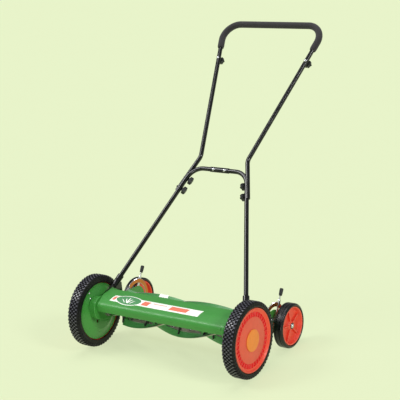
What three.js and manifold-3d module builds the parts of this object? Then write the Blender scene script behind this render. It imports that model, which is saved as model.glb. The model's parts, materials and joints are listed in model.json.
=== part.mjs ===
// A push reel mower: two driving wheels with internal ring gears turn a five-blade reel against a
// bed knife, two tracking wheels on height levers carry the rear, and a three-piece tube handle
// pivots on the wheel axles.
// Millimetres. +Z is up, -Y is the direction of mowing, +X is the left-hand side of whoever pushes.
// Everything is drawn from the driving wheels' axle line (Y = 0) and the ground (Z = 0); the last
// section moves the whole mower so that the origin lies under the middle of its bounding box.
import * as THREE from "three";
import { mergeVertices } from "three/addons/utils/BufferGeometryUtils.js";
import Module from "manifold-3d";

const wasm = await Module();
wasm.setup();

// ---------------------------------------------------------------- driving dimensions
const CUT_WIDTH = 508; // 20 inch cut
const WHEEL_R = 127; // 10 inch driving wheel
const OUTER_X = 337; // outer faces of all four wheels
const GAP = 0.3; // between pieces that touch
const SEAT_GAP = 0.8; // between a many-sided rim and its tyre

const TYRE_W = 44;
const RIM_R = 106;
const TRACK_R = 77; // tracking wheel
const TRACK_W = 36;
const TRACK_RIM_R = 65.7;

const MODULE_MM = 3; // gear tooth size
const RING_TEETH = 60;
const PINION_TEETH = 10;
const GEAR_CENTRES = ((RING_TEETH - PINION_TEETH) * MODULE_MM) / 2;
const GEAR_TILT = THREE.MathUtils.degToRad(-5); // from the wheel axle back to the reel axis
const BLADES = 5;
const REEL_R = 66;
const BLADE_INNER_R = 44;
const BLADE_PITCH = 1030; // length of one whole turn of the helix
const BLADE_PHASE = 1.08; // radians from upright, at the middle of the reel

const PLATE_X = 262; // inner faces of the side plates
const SHEET = 3; // side plate thickness
const WEB_PLATE_X = 285; // flat middle and rear arm of the side plates
const DISC_X = 297; // the side plates' dished rims, inside the wheels
const DISC_R = 98.5;

const PIVOT_Y = 203; // height lever pivot
const PIVOT_Z = 104;
const LEVER_ARM = 52.5; // from the pivot to the tracking wheel's axle
const LEVER_X = 292;
const LEVER_LEAN = THREE.MathUtils.degToRad(30.6); // hand lever, back from upright

const TUBE_R = 8; // 5/8 inch handle tube
const TUBE_WALL = 1.2;
const SWAGED_R = 6; // what slides inside a tube
const GRIP_R = 12.4;

// The handle lies in two planes that both hold the X direction: Y depends on Z only. The lower
// plane passes through the wheel axles, and the upper one slopes at 45 degrees.
const LOWER_SLOPE = 0.882;
const lowerY = (z) => LOWER_SLOPE * (z - WHEEL_R);
const upperY = (z) => z - 180;
const HANDLE_FOOT = { x: 269, z: 210 }; // lower end of a lower tube
const LOWER_JOINT = { x: 142.8, z: 488 };
const SPLICE_Z = 558; // the cross bar
const UPPER_JOINT = { x: 186, z: 887 };
const MIDDLE_LEAN = 0.298; // X per Z along a middle tube
const TOP_Z = 992; // the bar that is held

// ---------------------------------------------------------------- worked out from those
const AXLE = { y: 0, z: WHEEL_R };
const REEL = {
  y: AXLE.y + GEAR_CENTRES * Math.cos(GEAR_TILT),
  z: AXLE.z + GEAR_CENTRES * Math.sin(GEAR_TILT),
};
const TRACK_AXLE = {
  y: PIVOT_Y + Math.sqrt(LEVER_ARM ** 2 - (PIVOT_Z - TRACK_R) ** 2),
  z: TRACK_R,
};
const HANDLE_SLOPE = Math.atan2(HANDLE_FOOT.z - AXLE.z, lowerY(HANDLE_FOOT.z) - AXLE.y);

// ---------------------------------------------------------------- materials
function finish(hex, roughness, metalness) {
  return () => new THREE.MeshStandardMaterial({ color: hex, roughness, metalness });
}
const greenEnamel = finish(0x3f9a48, 0.35, 0.1);
const blackEnamel = finish(0x161616, 0.3, 0.2);
const blackIron = finish(0x202322, 0.6, 0.4);
const orangePlastic = finish(0xe0523a, 0.4, 0);
const amberPlastic = finish(0xe38a3a, 0.4, 0);
const tyreRubber = finish(0x26262a, 0.85, 0);
const foam = finish(0x3a373c, 0.95, 0);
const blackPlastic = finish(0x26282a, 0.6, 0);
const zinc = finish(0xc9ccd0, 0.25, 0.9);
const steel = finish(0x9a9c9e, 0.35, 0.9);
const bronze = finish(0xa7804a, 0.4, 0.8);

// ---------------------------------------------------------------- solids
function solid(geometry) {
  const bare = geometry.clone();
  bare.deleteAttribute("normal");
  bare.deleteAttribute("uv");
  const merged = mergeVertices(bare, 1e-3);
  return new wasm.Manifold(
    new wasm.Mesh({
      numProp: 3,
      vertProperties: merged.attributes.position.array,
      triVerts: new Uint32Array(merged.index.array),
    }),
  );
}

function geometryOf(manifold) {
  const mesh = manifold.getMesh();
  const geometry = new THREE.BufferGeometry();
  geometry.setAttribute("position", new THREE.BufferAttribute(mesh.vertProperties, 3));
  geometry.setIndex(new THREE.BufferAttribute(mesh.triVerts, 1));
  geometry.computeVertexNormals();
  return geometry;
}

function join(first, ...others) {
  return geometryOf(others.reduce((whole, g) => whole.add(solid(g)), solid(first)));
}

function cut(first, ...others) {
  return geometryOf(others.reduce((whole, g) => whole.subtract(solid(g)), solid(first)));
}

// A solid of revolution about X through (y, z). The profile is a list of [x, radius], from the
// low x end out and back, and either starts and ends on the axis or runs right round a ring.
function turned(profile, segments, { y, z } = { y: 0, z: 0 }) {
  const points = profile.map(([x, r]) => new THREE.Vector2(r, x));
  if (profile[0][1] > 0) points.push(points[0].clone());
  const geometry = new THREE.LatheGeometry(points, segments);
  geometry.rotateZ(-Math.PI / 2);
  geometry.translate(0, y, z);
  return geometry;
}

// A plate whose outline is drawn in (Y, Z) and which fills x from low to high.
function plate(shape, low, high, curveSegments = 10) {
  const depth = high - low;
  const geometry = new THREE.ExtrudeGeometry(shape, { depth, bevelEnabled: false, curveSegments });
  const toYZX = new THREE.Matrix4().makeBasis(
    new THREE.Vector3(0, 1, 0),
    new THREE.Vector3(0, 0, 1),
    new THREE.Vector3(1, 0, 0),
  );
  geometry.applyMatrix4(toYZX);
  geometry.translate(low, 0, 0);
  return geometry;
}

function circle({ y, z }, radius) {
  return new THREE.Shape().absarc(y, z, radius, 0, 2 * Math.PI, false);
}

// The outline of a belt drawn tight round two circles.
function belt(a, radiusA, b, radiusB) {
  const along = Math.atan2(b.z - a.z, b.y - a.y);
  const spread = Math.acos((radiusA - radiusB) / Math.hypot(b.y - a.y, b.z - a.z));
  const shape = new THREE.Shape();
  shape.absarc(a.y, a.z, radiusA, along + spread, along + 2 * Math.PI - spread, false);
  shape.absarc(b.y, b.z, radiusB, along - spread, along + spread, false);
  shape.closePath();
  return shape;
}

// A path that is drawn through given stations, with a mitred tangent at each.
class StationPath extends THREE.Curve {
  constructor(stations) {
    super();
    this.stations = stations;
  }

  getPointAt(t) {
    return this.stations[Math.round(t * (this.stations.length - 1))].clone();
  }

  getTangentAt(t) {
    const i = Math.round(t * (this.stations.length - 1));
    const here = this.stations[i];
    const before = this.stations[Math.max(i - 1, 0)];
    const after = this.stations[Math.min(i + 1, this.stations.length - 1)];
    const inward = i > 0 ? here.clone().sub(before).normalize() : new THREE.Vector3();
    const outward = after === here ? new THREE.Vector3() : after.clone().sub(here).normalize();
    return inward.add(outward).normalize();
  }
}

// Stations along straight runs between corners, with each inner corner bent to a radius.
function bent(corners, radius, stepsPerBend) {
  const stations = [corners[0]];
  for (let i = 1; i < corners.length - 1; i++) {
    const back = corners[i - 1].clone().sub(corners[i]).normalize();
    const ahead = corners[i + 1].clone().sub(corners[i]).normalize();
    const half = back.angleTo(ahead) / 2;
    const toCentre = back.clone().add(ahead).normalize();
    const centre = corners[i].clone().addScaledVector(toCentre, radius / Math.sin(half));
    const start = corners[i].clone().addScaledVector(back, radius / Math.tan(half)).sub(centre);
    const axis = ahead.clone().cross(back).normalize();
    for (let k = 0; k <= stepsPerBend; k++) {
      const turn = ((Math.PI - 2 * half) * k) / stepsPerBend;
      stations.push(start.clone().applyAxisAngle(axis, turn).add(centre));
    }
  }
  stations.push(corners[corners.length - 1]);
  return stations;
}

function tube(stations, outerR, innerR, sides = 8) {
  const section = new THREE.Shape(ring(outerR, sides));
  section.holes.push(new THREE.Path(ring(innerR, sides)));
  const extrudePath = new StationPath(stations);
  return new THREE.ExtrudeGeometry(section, { steps: stations.length - 1, extrudePath });
}

function rod(stations, radius) {
  const extrudePath = new StationPath(stations);
  const section = new THREE.Shape(ring(radius, 8));
  return new THREE.ExtrudeGeometry(section, { steps: stations.length - 1, extrudePath });
}

function ring(radius, sides) {
  const point = (i) => new THREE.Vector2(radius, 0).rotateAround(ORIGIN, (2 * Math.PI * i) / sides);
  return Array.from({ length: sides }, (_, i) => point(i));
}

const ORIGIN = new THREE.Vector2();

function add(group, name, geometry, material) {
  const mesh = new THREE.Mesh(geometry, material());
  mesh.name = name;
  group.add(mesh);
  return mesh;
}

// ---------------------------------------------------------------- gear teeth
// A toothed outline: each tooth goes from the root circle to the tip circle and back.
function teeth(count, rootR, tipR, rootWidth, tipWidth, phase) {
  const points = [];
  for (let i = 0; i < count; i++) {
    const middle = phase + (2 * Math.PI * i) / count;
    const corners = [
      [rootR, -rootWidth],
      [tipR, -tipWidth],
      [tipR, tipWidth],
      [rootR, rootWidth],
    ];
    for (const [r, w] of corners) {
      const angle = middle + w / 2 / r;
      points.push(new THREE.Vector2(r * Math.cos(angle), r * Math.sin(angle)));
    }
  }
  return points;
}

// ---------------------------------------------------------------- driving wheels
const RIM_INNER_X = OUTER_X - TYRE_W + 1;
const RIM_OUTER_X = OUTER_X - 1;
const WEB_X = OUTER_X - 12;
const BARREL_R = 101;
const AXLE_R = 8;
const CAP_R = 37;

function wheelRim() {
  const profile = [
    [DISC_X + 5, AXLE_R + 0.5],
    [DISC_X + 5, 20],
    [WEB_X, 20],
    [WEB_X, BARREL_R],
    [RIM_INNER_X, BARREL_R],
    [RIM_INNER_X, RIM_R],
    [RIM_OUTER_X, RIM_R],
    [RIM_OUTER_X, RIM_R - 4],
    [WEB_X + 4, RIM_R - 9],
    [WEB_X + 6, RIM_R - 29],
    [WEB_X + 6, AXLE_R + 0.5],
  ];
  const gear = new THREE.Shape(ring(BARREL_R + 2, 26));
  gear.holes.push(new THREE.Path(teeth(RING_TEETH, 93.6, 87.6, 4.6, 2.4, GEAR_TILT)));
  const gearRing = plate(gear, WEB_X - 17, WEB_X + 0.5);
  gearRing.translate(0, AXLE.y, AXLE.z);
  return join(turned(profile, 26, AXLE), gearRing);
}

function wheelTyre() {
  const low = OUTER_X - TYRE_W;
  const profile = [
    [RIM_INNER_X + 2, RIM_R + SEAT_GAP],
    [low, RIM_R + 6],
    [low + 1, WHEEL_R - 5],
    [low + 6, WHEEL_R],
    [OUTER_X - 6, WHEEL_R],
    [OUTER_X - 1, WHEEL_R - 5],
    [OUTER_X, RIM_R + 6],
    [RIM_OUTER_X - 2, RIM_R + SEAT_GAP],
  ];
  return turned(profile, 40, AXLE);
}

function hubCap() {
  const low = WEB_X + 6 + GAP;
  const profile = [
    [low, 0],
    [low, CAP_R - 1],
    [low + 2.4, CAP_R],
    [low + 4, CAP_R - 3],
    [low + 4.6, 0],
  ];
  return turned(profile, 24, AXLE);
}

function wheelAxle() {
  const profile = [
    [PLATE_X - 8, 0],
    [PLATE_X - 8, 13],
    [PLATE_X - GAP, 13],
    [PLATE_X - GAP, AXLE_R],
    [WEB_X + 5, AXLE_R],
    [WEB_X + 5, 0],
  ];
  return turned(profile, 16, AXLE);
}

// ---------------------------------------------------------------- side plates
const ARM_HALF_W = 9; // handle arm
const HOUSING_R = 22;
const BEARING_R = 17;
const SHAFT_R = 9;
const POCKET = { y: -23, z: 154 }; // centre of the pocket round the deck's front corner
const POCKET_R = 42;
const REAR_ARM_END_R = 40;
const BAR_Y = 103; // front of the cutter bar
const BAR_DEPTH = 35;
const BAR_Z = 50.7;
const BAR_HEIGHT = 33;
const STOP_R = 5; // pin that the handle arm rests on
// Corners of a handle arm's flared plate: along its line from the wheel axle, and to the front.
const FLARE = { rear: [98, -50], top: [124, -27], front: [80, 22], nose: [55, 40] };

function endPlateOutline() {
  const shape = new THREE.Shape();
  shape.moveTo(45, 203);
  shape.lineTo(0, 199);
  shape.absarc(POCKET.y, POCKET.z, POCKET_R, 1.35, 4.0, false);
  shape.quadraticCurveTo(-38, 112, 40, 97);
  shape.quadraticCurveTo(88, 88, BAR_Y, BAR_Z - 6);
  shape.lineTo(BAR_Y + BAR_DEPTH, BAR_Z - 6);
  shape.quadraticCurveTo(150, 50, 150, 70);
  shape.quadraticCurveTo(150, 130, 92, 165);
  shape.lineTo(78, 182);
  shape.closePath();
  return shape;
}

function pocketWall() {
  const shape = new THREE.Shape();
  shape.absarc(POCKET.y, POCKET.z, POCKET_R, 1.62, 4.0, false);
  shape.absarc(POCKET.y, POCKET.z, POCKET_R - SHEET, 4.0, 1.62, true);
  shape.closePath();
  return plate(shape, PLATE_X, WEB_PLATE_X + SHEET, 8);
}

// The part of the plate inside the wheel: flat in the middle, dished out to a narrow rim.
function dustDisc() {
  const profile = [
    [WEB_PLATE_X, 0],
    [WEB_PLATE_X, 62],
    [DISC_X, 91],
    [DISC_X, DISC_R],
    [DISC_X + SHEET, DISC_R],
    [DISC_X + SHEET, 89],
    [WEB_PLATE_X + SHEET, 60],
    [WEB_PLATE_X + SHEET, 0],
  ];
  return turned(profile, 32, AXLE);
}

// A point on the handle arm's line from the wheel axle, and a distance to its front side.
function onArm(along, across) {
  const y = along * Math.cos(HANDLE_SLOPE) - across * Math.sin(HANDLE_SLOPE);
  const z = along * Math.sin(HANDLE_SLOPE) + across * Math.cos(HANDLE_SLOPE);
  return new THREE.Vector2(AXLE.y + y, AXLE.z + z);
}

// The pin touches the middle of the arm's rear edge.
function handleStop() {
  const start = onArm(60, -ARM_HALF_W);
  const corner = onArm(...FLARE.rear);
  const edge = corner.clone().sub(start).normalize();
  const away = new THREE.Vector2(edge.y, -edge.x).multiplyScalar(STOP_R + GAP);
  const centre = start.lerp(corner, 0.5).add(away);
  return plate(circle({ y: centre.x, z: centre.y }, STOP_R), PLATE_X, WEB_PLATE_X + SHEET, 5);
}

function sidePlate() {
  const pivot = { y: PIVOT_Y, z: PIVOT_Z };
  const high = WEB_PLATE_X + SHEET;
  const body = join(
    plate(endPlateOutline(), PLATE_X, PLATE_X + SHEET, 8),
    pocketWall(),
    dustDisc(),
    plate(circle(REEL, HOUSING_R), PLATE_X, high, 8),
    plate(belt(REEL, 34, pivot, REAR_ARM_END_R), WEB_PLATE_X, high, 10),
    handleStop(),
  );
  return cut(
    body,
    plate(circle(AXLE, AXLE_R + 2 * GAP), PLATE_X - 1, high + 1, 6),
    plate(circle(REEL, BEARING_R + 2 * GAP), PLATE_X - 1, DISC_X + SHEET + 1, 8),
    plate(circle(pivot, 5 + 2 * GAP), WEB_PLATE_X - 1, high + 1, 5),
    plate(circle({ y: -29.4, z: 101.7 }, 6), PLATE_X - 1, high + 1, 6),
  );
}

// ---------------------------------------------------------------- deck, bed knife, cross members
function deckShield() {
  const outside = new THREE.Path();
  outside.moveTo(-51, 151);
  outside.lineTo(-53, 165);
  outside.quadraticCurveTo(-53, 179, -40, 185);
  outside.lineTo(-20, 194);
  outside.quadraticCurveTo(-13, 196.5, -6, 197.5);
  outside.lineTo(34, 202);
  outside.quadraticCurveTo(41, 202.5, 41, 196);
  outside.lineTo(41, 192);
  return plate(thickened(outside.getPoints(4), 2), -PLATE_X + GAP, PLATE_X - GAP);
}

// The outline of a sheet of given thickness on the right-hand side of a line.
function thickened(points, thickness) {
  const inside = points.map((p, i) => {
    const before = points[Math.max(i - 1, 0)];
    const after = points[Math.min(i + 1, points.length - 1)];
    const along = after.clone().sub(before).normalize();
    return p.clone().add(new THREE.Vector2(along.y, -along.x).multiplyScalar(thickness));
  });
  return new THREE.Shape([...points, ...inside.reverse()].reverse());
}

function cutterBar() {
  const back = BAR_Y + BAR_DEPTH;
  const shape = new THREE.Shape();
  shape.moveTo(BAR_Y, BAR_Z);
  shape.lineTo(back, BAR_Z);
  shape.lineTo(back, BAR_Z + BAR_HEIGHT);
  shape.lineTo(back - 4, BAR_Z + BAR_HEIGHT);
  shape.lineTo(back - 4, BAR_Z + 4);
  shape.lineTo(BAR_Y, BAR_Z + 4);
  return plate(shape, -PLATE_X + GAP, PLATE_X - GAP);
}

// The knife's front edge stands half a millimetre clear of the reel's cutting circle.
function bedKnife() {
  const low = BAR_Z + 4 + GAP;
  const top = low + SHEET;
  const edgeY = REEL.y + Math.sqrt((REEL_R + 0.5) ** 2 - (REEL.z - top) ** 2);
  const shape = new THREE.Shape();
  shape.moveTo(edgeY + 3, low);
  shape.lineTo(BAR_Y + BAR_DEPTH - 8, low);
  shape.lineTo(BAR_Y + BAR_DEPTH - 8, top);
  shape.lineTo(edgeY, top);
  return plate(shape, -CUT_WIDTH / 2, CUT_WIDTH / 2);
}

function tieRod() {
  const end = WEB_PLATE_X - GAP;
  const profile = [
    [-end, 0],
    [-end, 7],
    [end, 7],
    [end, 0],
  ];
  return turned(profile, 12, { y: 172, z: 104 });
}

// ---------------------------------------------------------------- reel
const PINION_X = OUTER_X - 28;
const PINION_W = 12;
const PINION_BORE_R = 7;

function reelShaft() {
  const end = PINION_X + PINION_W + 1;
  const profile = [
    [-end, 0],
    [-end, PINION_BORE_R],
    [-DISC_X, PINION_BORE_R],
    [-DISC_X, SHAFT_R],
    [DISC_X, SHAFT_R],
    [DISC_X, PINION_BORE_R],
    [end, PINION_BORE_R],
    [end, 0],
  ];
  return turned(profile, 16, REEL);
}

const bladeTurn = (x) => BLADE_PHASE + (2 * Math.PI * x) / BLADE_PITCH;

// The blades lean back from their cutting edge, and wind round the reel as they go along it.
function blade(index) {
  const half = CUT_WIDTH / 2;
  const section = new THREE.Shape();
  section.moveTo(-9, BLADE_INNER_R);
  section.lineTo(-6, BLADE_INNER_R);
  section.lineTo(0, REEL_R);
  section.lineTo(-3, REEL_R - 0.5);
  const straight = { depth: 2 * half, steps: 20, bevelEnabled: false };
  const geometry = new THREE.ExtrudeGeometry(section, straight);
  const place = geometry.getAttribute("position");
  for (let i = 0; i < place.count; i++) {
    const x = place.getZ(i) - half;
    const turn = bladeTurn(x) + (2 * Math.PI * index) / BLADES;
    const across = place.getX(i);
    const out = place.getY(i);
    const y = REEL.y + out * Math.sin(turn) + across * Math.cos(turn);
    const z = REEL.z + out * Math.cos(turn) - across * Math.sin(turn);
    place.setXYZ(i, x, y, z);
  }
  return geometry;
}

// Each arm of a spider ends in a lug that lies against the front of its blade.
function spider(x) {
  const hubR = 17;
  const tipR = BLADE_INNER_R - 1;
  const lugR = 57;
  const points = [];
  for (let i = BLADES - 1; i >= 0; i--) {
    const turn = bladeTurn(x) + (2 * Math.PI * i) / BLADES;
    const at = (out, across) =>
      new THREE.Vector2(
        REEL.y + out * Math.sin(turn) + across * Math.cos(turn),
        REEL.z + out * Math.cos(turn) - across * Math.sin(turn),
      );
    points.push(at(hubR, 6), at(tipR, 3), at(lugR, 4.5), at(lugR, -1), at(tipR + 1.5, -4.4));
    points.push(at(tipR, -4.8), at(tipR, -12), at(hubR, -6));
  }
  const shape = new THREE.Shape(points);
  const flat = plate(shape, x - 2, x + 2);
  return cut(flat, plate(circle(REEL, SHAFT_R + GAP), x - 3, x + 3, 8));
}

function pinion() {
  const outline = teeth(PINION_TEETH, 11.2, 17.6, 5.2, 2.2, GEAR_TILT + Math.PI / PINION_TEETH);
  const shape = new THREE.Shape(outline);
  shape.holes.push(new THREE.Path(ring(PINION_BORE_R + GAP, 16)));
  const gear = plate(shape, PINION_X, PINION_X + PINION_W);
  gear.translate(0, REEL.y, REEL.z);
  return gear;
}

function reelBearing() {
  const profile = [
    [PLATE_X, SHAFT_R + GAP],
    [PLATE_X, BEARING_R],
    [PLATE_X + 14, BEARING_R],
    [PLATE_X + 14, SHAFT_R + GAP],
  ];
  return turned(profile, 16, REEL);
}

// ---------------------------------------------------------------- height levers, tracking wheels
const LEVER_GRIP_R = 6.6;
const SECTOR_INNER_R = 50;
const SECTOR_OUTER_R = 68;
const SPINDLE_R = 6;
const LEVER_GRIP_FROM = 91;
const LEVER_GRIP_TO = 115;

// A plate on the pivot with a leg to the rear and an arched rim that the lever moves along.
function heightSector() {
  const pivot = { y: PIVOT_Y, z: PIVOT_Z };
  const [rear, legEnd, front] = [-35, -12, 125].map(THREE.MathUtils.degToRad);
  const shape = new THREE.Shape();
  shape.absarc(PIVOT_Y, PIVOT_Z, SECTOR_OUTER_R, rear, front, false);
  shape.absarc(PIVOT_Y, PIVOT_Z, SECTOR_INNER_R, front, legEnd, true);
  shape.absarc(PIVOT_Y, PIVOT_Z, 16, legEnd, rear, false);
  shape.closePath();
  const low = WEB_PLATE_X + SHEET + GAP;
  const hub = plate(circle(pivot, 16), low, low + 2.5, 8);
  const bore = plate(circle(pivot, 5 + GAP), low - 1, low + 4, 6);
  return cut(join(plate(shape, low, low + 2.5, 9), hub), bore);
}

function leverDirection(distance) {
  return {
    y: PIVOT_Y + distance * Math.sin(LEVER_LEAN),
    z: PIVOT_Z + distance * Math.cos(LEVER_LEAN),
  };
}

// One piece: hub on the pivot, hand lever upwards, arm and spindle for the tracking wheel.
function heightLever() {
  const pivot = { y: PIVOT_Y, z: PIVOT_Z };
  const high = LEVER_X + SHEET;
  const arm = plate(belt(pivot, 14, TRACK_AXLE, 11), LEVER_X, high, 8);
  const lever = plate(belt(pivot, 6, leverDirection(LEVER_GRIP_TO - 6), 3), LEVER_X, high, 4);
  const profile = [
    [LEVER_X, 0],
    [LEVER_X, 10],
    [high + 4, 10],
    [high + 4, SPINDLE_R],
    [OUTER_X - 6, SPINDLE_R],
    [OUTER_X - 6, 0],
  ];
  const spindle = turned(profile, 14, TRACK_AXLE);
  return cut(join(arm, lever, spindle), plate(circle(pivot, 5 + GAP), LEVER_X - 1, high + 1, 6));
}

function leverGrip() {
  const middleX = LEVER_X + SHEET / 2;
  const place = (distance) => {
    const { y, z } = leverDirection(distance);
    return new THREE.Vector3(middleX, y, z);
  };
  const sides = 10;
  const section = new THREE.Shape(ring(LEVER_GRIP_R, sides));
  const extrudePath = new THREE.LineCurve3(place(LEVER_GRIP_FROM), place(LEVER_GRIP_TO));
  const body = new THREE.ExtrudeGeometry(section, { steps: 1, extrudePath });
  const slotEnd = leverDirection(LEVER_GRIP_TO - 6);
  const slot = belt({ y: PIVOT_Y, z: PIVOT_Z }, 6 + GAP, slotEnd, 3 + GAP);
  return cut(body, plate(slot, LEVER_X - GAP, LEVER_X + SHEET + GAP, 4));
}

function leverPivot() {
  const inner = WEB_PLATE_X - GAP;
  const outer = LEVER_X + SHEET + GAP;
  const profile = [
    [inner - 5, 0],
    [inner - 5, 9],
    [inner, 9],
    [inner, 5],
    [outer, 5],
    [outer, 9],
    [outer + 4, 8],
    [outer + 4, 0],
  ];
  return turned(profile, 12, { y: PIVOT_Y, z: PIVOT_Z });
}

function trackRim() {
  const low = OUTER_X - TRACK_W + 2;
  const profile = [
    [low, SPINDLE_R + 0.4],
    [low, 13],
    [low + 14, 14],
    [low + 16, 57],
    [low, 60.5],
    [low, TRACK_RIM_R],
    [OUTER_X - 1.5, TRACK_RIM_R],
    [OUTER_X - 1.5, 61.5],
    [low + 21, 57],
    [low + 18, 15],
    [OUTER_X - 5, 13],
    [OUTER_X - 5, SPINDLE_R + 0.4],
  ];
  return turned(profile, 20, TRACK_AXLE);
}

function trackTyre() {
  const low = OUTER_X - TRACK_W;
  const profile = [
    [low, TRACK_RIM_R + SEAT_GAP],
    [low, TRACK_R - 4],
    [low + 5, TRACK_R],
    [OUTER_X - 5, TRACK_R],
    [OUTER_X, TRACK_R - 4],
    [OUTER_X, TRACK_RIM_R + SEAT_GAP],
  ];
  return turned(profile, 32, TRACK_AXLE);
}

function trackCap() {
  const low = OUTER_X - 5 + GAP;
  const profile = [
    [low, 0],
    [low, 10],
    [low + 2, 10],
    [low + 4, 6],
    [low + 4.5, 0],
  ];
  return turned(profile, 16, TRACK_AXLE);
}

// ---------------------------------------------------------------- handle
const inLowerPlane = (x, z) => new THREE.Vector3(x, lowerY(z), z);
const inUpperPlane = (x, z) => new THREE.Vector3(x, upperY(z), z);

// The sloping lower tube: X falls as Z rises, from the foot to the joint and beyond.
const LOWER_LEAN = (HANDLE_FOOT.x - LOWER_JOINT.x) / (LOWER_JOINT.z - HANDLE_FOOT.z);
const lowerX = (z) => HANDLE_FOOT.x - LOWER_LEAN * (z - HANDLE_FOOT.z);
const NEST = 5; // a middle tube's crushed end wraps the lower tube, this far outside its centre
const MID_FOOT_Z = 487;
const MID_CORNER_Z = 591;
const upperX = (z) => UPPER_JOINT.x + MIDDLE_LEAN * (z - UPPER_JOINT.z);
const SLEEVE_Z = 898; // where the loop's swaged end enters the middle tube
const GRIP_Z = 917;
const LOWER_BEND_R = 62;
const MIDDLE_BEND_R = 40;
const TOP_BEND_R = 60;

const lowerPath = (endX) => [
  inLowerPlane(HANDLE_FOOT.x, HANDLE_FOOT.z),
  inLowerPlane(lowerX(SPLICE_Z), SPLICE_Z),
  inLowerPlane(endX, SPLICE_Z),
];

function lowerTube() {
  return tube(bent(lowerPath(1), LOWER_BEND_R, 6), TUBE_R, TUBE_R - TUBE_WALL);
}

function splice() {
  const ends = [inLowerPlane(-38, SPLICE_Z), inLowerPlane(38, SPLICE_Z)];
  return tube(ends, TUBE_R + 1.6, TUBE_R + 0.5, 16);
}

// The foot is filled and hollowed by the lower tube, as a crushed tube end is.
function midTube() {
  const corners = [
    inLowerPlane(lowerX(MID_FOOT_Z) + NEST, MID_FOOT_Z),
    inUpperPlane(upperX(MID_CORNER_Z), MID_CORNER_Z),
    inUpperPlane(upperX(SLEEVE_Z), SLEEVE_Z),
  ];
  const whole = tube(bent(corners, MIDDLE_BEND_R, 4), TUBE_R, TUBE_R - TUBE_WALL);
  const crushed = tube([corners[0], corners[0].clone().lerp(corners[1], 0.6)], TUBE_R - 0.5, 1);
  const beside = rod(bent(lowerPath(0), LOWER_BEND_R, 6), TUBE_R + 2 * GAP);
  return cut(join(whole, crushed), beside);
}

function loopCorners(footZ) {
  return [
    inUpperPlane(upperX(footZ), footZ),
    inUpperPlane(upperX(TOP_Z), TOP_Z),
    inUpperPlane(-upperX(TOP_Z), TOP_Z),
    inUpperPlane(-upperX(footZ), footZ),
  ];
}

function upperLoop() {
  const path = bent(loopCorners(SLEEVE_Z + GAP), TOP_BEND_R, 6);
  const loop = tube(path, TUBE_R, TUBE_R - TUBE_WALL);
  const stretch = (side, low, high, outerR, innerR) => {
    const ends = [low, high].map((z) => inUpperPlane(side * upperX(z), z));
    return tube(ends, outerR, innerR);
  };
  const swaged = [1, -1].flatMap((side) => [
    stretch(side, SLEEVE_Z - 35, SLEEVE_Z + 10, SWAGED_R, SWAGED_R - TUBE_WALL),
    stretch(side, SLEEVE_Z + 2, SLEEVE_Z + 5, TUBE_R - 0.5, SWAGED_R - 0.5),
  ]);
  return join(loop, ...swaged);
}

function foamGrip() {
  return tube(bent(loopCorners(GRIP_Z), TOP_BEND_R, 6), GRIP_R, TUBE_R + 1);
}

// The arm swings on the wheel axle; its socket holds the lower tube's foot.
function handleArm() {
  const [foot, corner] = lowerPath(0);
  const along = corner.clone().sub(foot).normalize();
  const onTube = (d) => foot.clone().addScaledVector(along, d);
  const socketEnds = [onTube(-14), onTube(32)];
  const socket = tube(socketEnds, TUBE_R + 3.5, TUBE_R + 0.9, 10);
  const reach = Math.hypot(foot.y - AXLE.y, foot.z - AXLE.z) - 2;
  const low = HANDLE_FOOT.x - 1;
  const strap = new THREE.Shape([
    onArm(0, -ARM_HALF_W),
    onArm(60, -ARM_HALF_W),
    onArm(...FLARE.rear),
    onArm(...FLARE.top),
    onArm(reach, ARM_HALF_W),
    onArm(...FLARE.front),
    onArm(...FLARE.nose),
    onArm(20, ARM_HALF_W),
    onArm(0, ARM_HALF_W),
  ]);
  const eye = plate(circle(AXLE, AXLE_R + 6), low, low + 6, 8);
  const hole = plate(circle(AXLE, AXLE_R + 2 * GAP), low - 1, low + 7, 8);
  const bore = rod([onTube(-20), onTube(60)], TUBE_R + 0.9);
  return join(cut(join(plate(strap, low, low + 6), eye), hole, bore), socket);
}

const KNOB_R = 13.2;
const KNOB_THICK = 13;

// A lobed hand knob on an axis that starts at a point and goes in a direction.
function knob(base, direction) {
  const lobes = 6;
  const outline = [];
  for (let i = 0; i < 2 * lobes; i++) {
    const turn = (Math.PI * i) / lobes;
    const r = KNOB_R + 1.4 * Math.cos(lobes * turn);
    outline.push(new THREE.Vector2(r * Math.cos(turn), r * Math.sin(turn)));
  }
  const neck = base.clone().addScaledVector(direction, 3);
  const tip = neck.clone().addScaledVector(direction, KNOB_THICK);
  const head = new THREE.ExtrudeGeometry(new THREE.Shape(outline), {
    steps: 1,
    extrudePath: new THREE.LineCurve3(neck, tip),
  });
  const boss = new THREE.ExtrudeGeometry(new THREE.Shape(ring(6, 8)), {
    steps: 1,
    extrudePath: new THREE.LineCurve3(base, neck.clone().addScaledVector(direction, 1)),
  });
  return join(head, boss);
}

function lowerKnob(z) {
  const up = new THREE.Vector3(-LOWER_LEAN, LOWER_SLOPE, 1).normalize();
  const planeNormal = new THREE.Vector3(0, 1, -LOWER_SLOPE).normalize();
  const inward = up.clone().cross(planeNormal);
  const direction = inward.addScaledVector(planeNormal, 0.57).normalize();
  const base = inLowerPlane(lowerX(z), z).addScaledVector(direction, TUBE_R + GAP);
  return knob(base, direction);
}

function loopKnob() {
  const behind = new THREE.Vector3(0, 1, -1).normalize();
  const base = inUpperPlane(upperX(LOOP_KNOB_Z), LOOP_KNOB_Z).addScaledVector(behind, TUBE_R + GAP);
  return knob(base, behind);
}

// ---------------------------------------------------------------- assembly
const mower = new THREE.Group();
const LOWER_KNOB_Z = { upper: 525, lower: 496 };
const LOOP_KNOB_Z = 884;

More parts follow.
